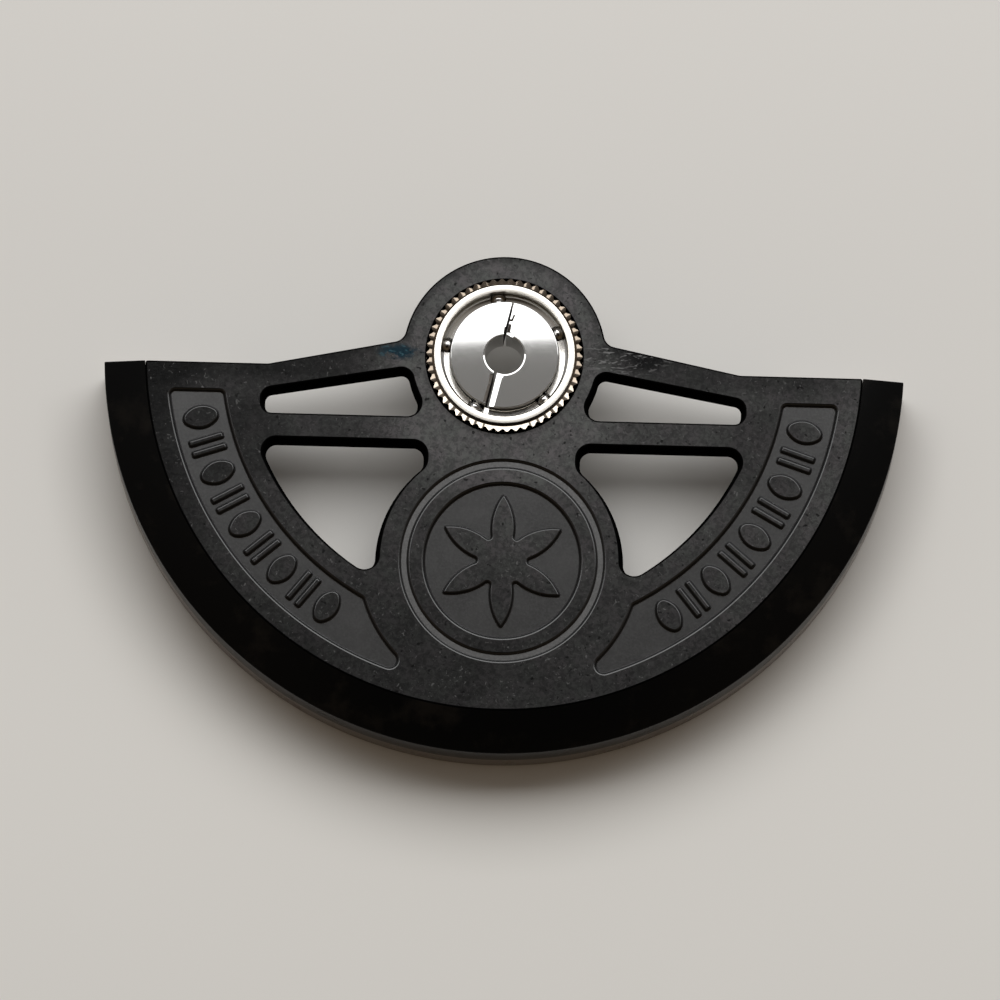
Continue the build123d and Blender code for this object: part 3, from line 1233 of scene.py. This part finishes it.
def face_tone_and_painted_light(finish, places, level, scuffed):
    """How pale the face is, as a sum of masks. Each has the amount that it adds, or takes if below 0. Some
    masks are painted light, as marked.
    """
    across = finish.part(places, "X")
    along = finish.part(places, "Y")
    aside = across.maths("ABSOLUTE", across)
    hub = (0, 0, level)
    above_web = (0, -3.5, level)
    off_hub = 1 - finish.near(places, hub, 3.3, 4.4)
    hub_rim = 1 - finish.near(places, hub, 3.05, 3.4)
    beside_tips = finish.step(aside, 6.5, 8.3) * (1 - finish.step(aside, 9.3, 10.5))
    below_arms = finish.step(along, -5.5, -3.5) * (1 - finish.step(along, -2.0, -1.2))
    masks = [
        (0.50, finish.near(places, hub, 3.3, 5.6)),
        (0.12, finish.near(places, above_web, 2.0, 5.0)),
        # Painted light: these three masks paint the face paler to the right.
        (0.33, finish.step(across, -12.0, -9.0)),
        (0.20, finish.step(across, -12.0, 12.0)),
        (0.10, finish.step(across, 10.0, 12.5)),
        # Painted light: the face is painted darker towards the bottom.
        (0.22, finish.step(along, -11.0, -5.0)),
        (-0.24, finish.step(along, -1.5, -0.6) * off_hub),
        (-0.22, beside_tips * below_arms),
        # Darker along the upper edge of the hub.
        (-0.50, hub_rim * finish.step(along, -0.3, 0.8)),
        (0.35, finish.noise(places, 0.55, detail=3.0) - 0.5),
        (-0.40, scuffed),
    ]
    return sum((mask * amount for amount, mask in masks), -0.20)


def blasted_black():
    """The plate's face, paler round the bearing, with an oily stain and a scratched arm, and painted light:
    paler to the right and darker towards the bottom.
    """
    finish = Finish("blasted_black", Specular_IOR_Level=0.06)
    places = finish.places()
    level = plate_top / mm
    grain = finish.noise(places, 6.5, detail=4.0, roughness=0.68, distortion=0.6)
    pits = finish.step(finish.noise(places, 5.5, detail=1.5), 0.67, 0.74)
    specks = finish.step(finish.noise(places, 8.0, distortion=1.0), 0.65, 0.73)
    flat_places = finish.squeezed(places, (0.36, 1.0, 1.0))
    scuffed = finish.near(flat_places, (1.45, 0.02, level), 0.3, 0.7)
    paleness_with_painted_light = face_tone_and_painted_light(finish, places, level, scuffed)
    hue = finish.step(finish.noise(places, 1.3), 0.35, 0.65)
    pale = finish.blend(hue, pale_rose, pale_green)
    low = finish.blend(paleness_with_painted_light, grey(0.0005), grey(0.050))
    high = finish.blend(paleness_with_painted_light, grey(0.004), pale)
    colour = finish.blend(finish.step(grain, 0.34, 0.64), low, high)
    colour = finish.blend(pits * 0.8, colour, grey(0.0008))
    colour = finish.blend(specks * 0.5, colour, grey(0.15))
    oily = finish.near(flat_places, (-1.27, 0.06, level), 0.12, 0.34)
    oily = oily * finish.step(finish.noise(places, 3.5, detail=3.0, roughness=0.6), 0.34, 0.5)
    colour = finish.blend(oily * 0.95, colour, oil_blue)
    glints = finish.step(finish.noise(finish.squeezed(places, (4.0, 9.0, 1.0)), 1.0), 0.56, 0.66)
    colour = finish.blend(oily * glints * 0.7, colour, oil_glint)
    streaks = finish.noise(finish.squeezed(places, (3.0, 11.0, 1.0)), 1.0, distortion=0.8)
    colour = finish.blend(scuffed * finish.step(streaks, 0.55, 0.66) * 0.75, colour, grey(0.19))
    relief = finish.bump(grain - pits * 0.6, 0.6, 0.007 * mm)
    return finish.wear(Base_Color=colour, Roughness=0.22 + grain * 0.1, Normal=relief)


def satin(name, low, high):
    """A smooth sunk floor, between two greys."""
    finish = Finish(name, Specular_IOR_Level=0.42)
    places = finish.places()
    cloud = finish.noise(places, 0.8, detail=3.0)
    grain = finish.noise(places, 14.0)
    colour = finish.blend(finish.step(cloud, 0.25, 0.75), grey(low), grey(high))
    colour = finish.blend(finish.step(grain, 0.35, 0.75) * 0.3, colour, grey(high * 1.7))
    relief = finish.bump(grain, 0.2, 0.006 * mm)
    return finish.wear(Base_Color=colour, Roughness=0.17 + grain * 0.06, Normal=relief)


def side_black():
    """The punched sides and the underside."""
    finish = Finish("side_black", Specular_IOR_Level=0.0, Roughness=0.5)
    cloud = finish.noise(finish.places(), 1.5)
    return finish.wear(Base_Color=finish.blend(cloud, grey(0.001), grey(0.003)))


def slope_black():
    """The slopes round the sunk fields, which gleam where they face the light."""
    finish = Finish("slope_black", Specular_IOR_Level=0.65)
    cloud = finish.noise(finish.places(), 3.0)
    colour = finish.blend(cloud, grey(0.001), grey(0.003))
    return finish.wear(Base_Color=colour, Roughness=0.2 + cloud * 0.1)


satin_black = satin("satin_black", 0.014, 0.025)
# Painted sheen: the ring groove's floor is painted paler than the other sunk floors.
painted_sheen_grey = satin("painted_sheen_grey", 0.07, 0.09)
dress(plate, blasted_black(), satin_black, side_black(), slope_black(), painted_sheen_grey)

# %% [markdown]
# The rim is blackened as well, but towards the foot it is bare heavy metal all round. The mask for the
# bare part is the height in the rim's own coordinates, made a little ragged by noise.

# %% Rim coating
bare_top = -0.22
bare_fade = 0.02
bare_ragged = 0.06
bare_metal = (0.18, 0.14, 0.12, 1)


def rim_black():
    """Near-black above, and bare turned metal towards the foot."""
    finish = Finish("rim_black", Specular_IOR_Level=0.1)
    places = finish.places()
    cloud = finish.noise(places, 0.7, detail=4.0, roughness=0.6)
    ragged = finish.part(places, "Z") + (cloud - 0.5) * bare_ragged
    bare = 1 - finish.step(ragged, bare_top - bare_fade, bare_top + bare_fade)
    stain = finish.step(cloud, 0.5, 0.72)
    black = finish.blend(stain * 0.6, grey(0.0016), grey(0.006, 0.25))
    colour = finish.blend(bare, black, bare_metal)
    return finish.wear(Base_Color=colour, Metallic=bare, Roughness=0.24 + stain * 0.12)


dress(rim, rim_black())

# %% [markdown]
# ## Steels
# The bearing's parts are all polished steel, told apart by how they were finished: the lip and teeth are
# turned and bright, the inner ring is lapped nearly to a mirror, the cage is duller. On the toothed ring
# the teeth are painted bright in front and dark behind as a painted reflection, and the groove beside the
# lip is painted dark as painted shade.

# %% Steels
cloud_shade = 0.93
flange_fade = 0.01
lip_pale = (0.84, 0.81, 0.75, 1)
lip_deep = (0.76, 0.73, 0.67, 1)
# Painted reflection: the teeth's colour in front and behind.
painted_lit_teeth = (0.48, 0.42, 0.35, 1)
painted_shaded_teeth = (0.20, 0.165, 0.13, 1)
# Painted shade: the colour of the groove beside the lip.
painted_groove_shade = (0.03, 0.02, 0.012, 1)


def steel(name, colour, roughness, streak=0.0):
    """Polished steel with soft streaks and clouds."""
    finish = Finish(name, Metallic=1.0)
    places = finish.places()
    streaks = finish.noise(places, 5.0, detail=4.0, roughness=0.6, distortion=0.4)
    clouds = finish.noise(places, 0.9)
    tint = finish.blend(clouds, (*colour, 1), (*(cloud_shade * part for part in colour), 1))
    return finish.wear(Base_Color=tint, Roughness=roughness + streaks * streak)


def ring_steel():
    """The toothed ring: a matt bright lip, a groove painted dark as painted shade, and a smoother toothed
    flange whose teeth are painted bright in front and dark behind as a painted reflection.
    """
    finish = Finish("turned_steel", Metallic=1.0)
    places = finish.places()
    flat_places = finish.squeezed(places, (1.0, 1.0, 0.0))
    away = finish.node("ShaderNodeVectorMath", {"operation": "LENGTH"}, {0: flat_places}, "Value")
    flange = finish.step(away, lip_outer / mm - flange_fade, lip_outer / mm + flange_fade)
    # Painted shade: the groove beside the lip is painted dark.
    shaded_groove = flange * (1 - finish.step(away, groove_outer / mm, groove_outer / mm + 2 * flange_fade))
    clouds = finish.noise(places, 2.5, detail=3.0)
    tint = finish.blend(clouds, lip_pale, lip_deep)
    # Painted reflection: the teeth are painted bright in front and dark behind.
    dull = finish.step(finish.part(places, "Y"), -1.8, -0.4)
    toothed = finish.blend(dull, painted_lit_teeth, painted_shaded_teeth)
    tint = finish.blend(flange, tint, toothed)
    tint = finish.blend(shaded_groove * 0.93, tint, painted_groove_shade)
    return finish.wear(Base_Color=tint, Roughness=0.32 - flange * 0.25 + shaded_groove * 0.3)


def broken_steel():
    """The grainy, dull surface where the inner ring was broken."""
    finish = Finish("broken_steel", Metallic=1.0, Roughness=0.5)
    grain = finish.noise(finish.places(), 12.0, detail=3.0, roughness=0.6)
    return finish.wear(Base_Color=finish.blend(grain, grey(0.02, 0.2), grey(0.30, 0.1)))


lapped_steel = steel("lapped_steel", (0.58, 0.58, 0.57), 0.025, 0.01)
torn_steel = broken_steel()
dress(outer_ring, ring_steel())
dress(left_half, lapped_steel, torn_steel)
dress(right_half, lapped_steel, torn_steel)
dress(cage, steel("cage_steel", (0.74, 0.72, 0.68), 0.11, 0.05))
# Painted shade: the balls' steel is painted darker than the other steels, as if shaded in their pockets.
ball_steel = steel("ball_steel", (0.40, 0.39, 0.38), 0.08)
for ball in balls:
    dress(ball, ball_steel)

# %% [markdown]
# ## Last measures
# The looks must not change the size, so both boxes are written down for comparison.

# %% Sizes and finish
boxes = {"cad": [list(corner) for corner in cad_box], "visual": [list(corner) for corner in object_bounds()]}
for label, (low, high) in boxes.items():
    print(label, "box in mm:", [round(value / mm, 3) for value in low + high])
